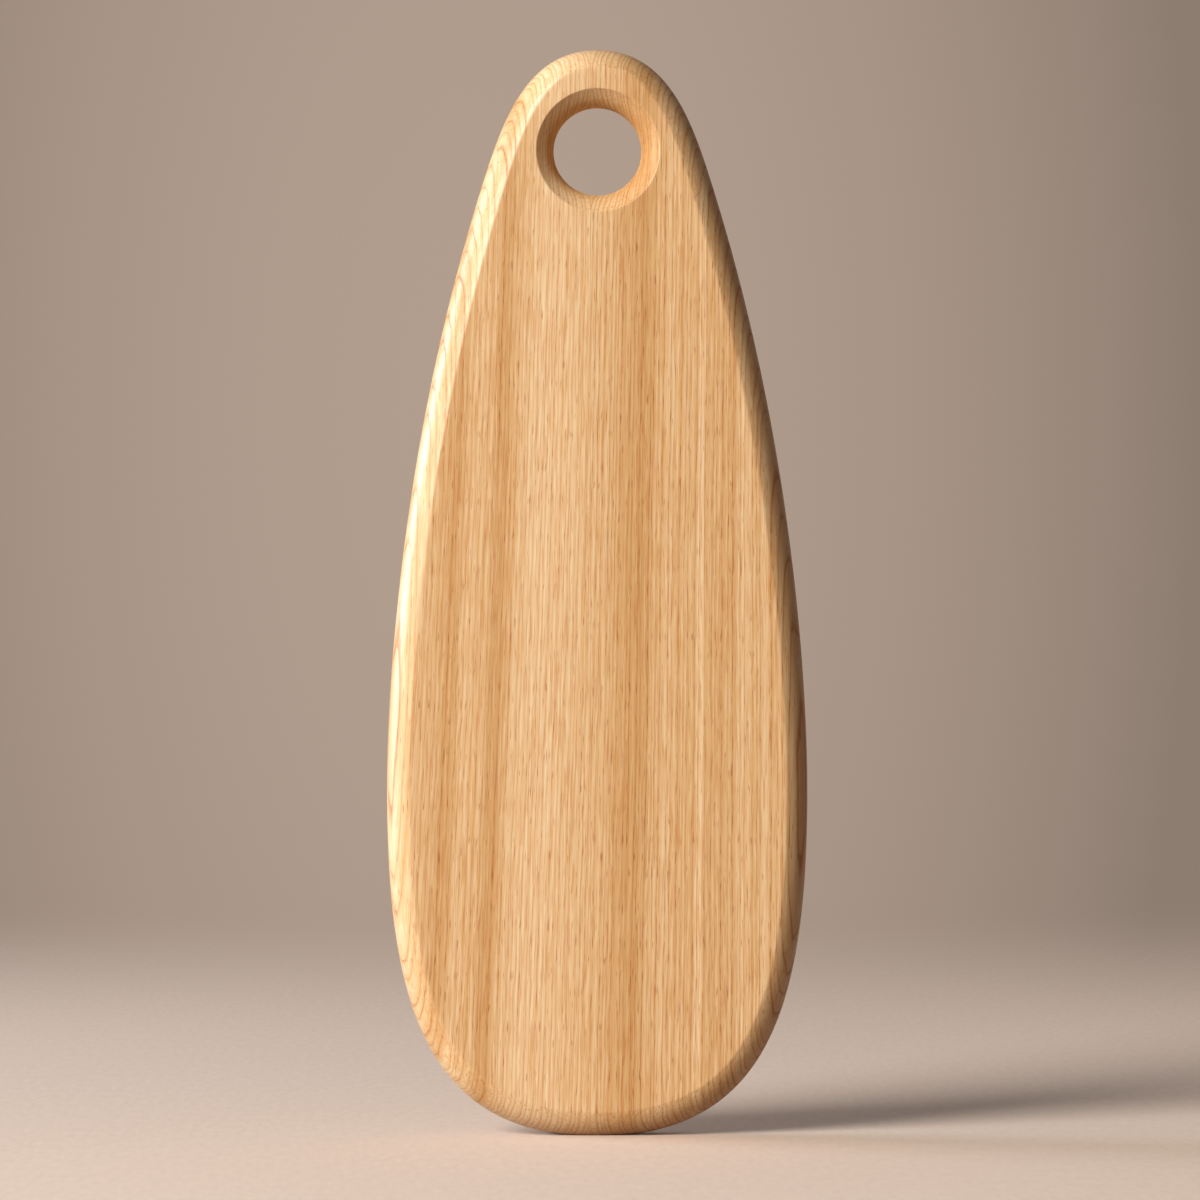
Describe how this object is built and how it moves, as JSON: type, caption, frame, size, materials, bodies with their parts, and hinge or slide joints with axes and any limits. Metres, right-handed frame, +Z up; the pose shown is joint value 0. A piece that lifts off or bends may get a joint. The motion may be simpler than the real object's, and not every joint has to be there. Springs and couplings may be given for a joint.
{
  "type": "oval cutting board",
  "caption": "Thick egg-shaped oak cutting board, glued up from upright staves, with a rounded rim and a round finger hole near its narrow end.",
  "frame": {"origin": "the middle of the flat foot, under the board as it stands on its broad end", "axes": "+Z up along the grain from the broad end to the narrow end, +X to the right as the front is seen, +Y through the thickness to the back"},
  "size_m": [0.1746, 0.0268, 0.45],
  "materials": {
    "oak_left_rim": "oiled, fine vertical grain",
    "oak_left_strip": "oiled, fine vertical grain",
    "oak_left_of_hole": "oiled, fine vertical grain",
    "oak_right_of_hole": "oiled, fine vertical grain",
    "oak_right_strip": "oiled, fine vertical grain",
    "oak_right_rim": "oiled, fine vertical grain",
    "wood_glue": "hardened glue, sanded flush"
  },
  "bodies": {
    "root": {"stave_1_left_rim": "oak_left_rim", "stave_2_left_strip": "oak_left_strip", "stave_3_left_of_hole": "oak_left_of_hole", "stave_4_right_of_hole": "oak_right_of_hole", "stave_5_right_strip": "oak_right_strip", "stave_6_right_rim": "oak_right_rim", "glue_line_1": "wood_glue", "glue_line_2": "wood_glue", "glue_line_3_below_hole": "wood_glue", "glue_line_3_above_hole": "wood_glue", "glue_line_4": "wood_glue", "glue_line_5": "wood_glue"}
  },
  "joints": []
}
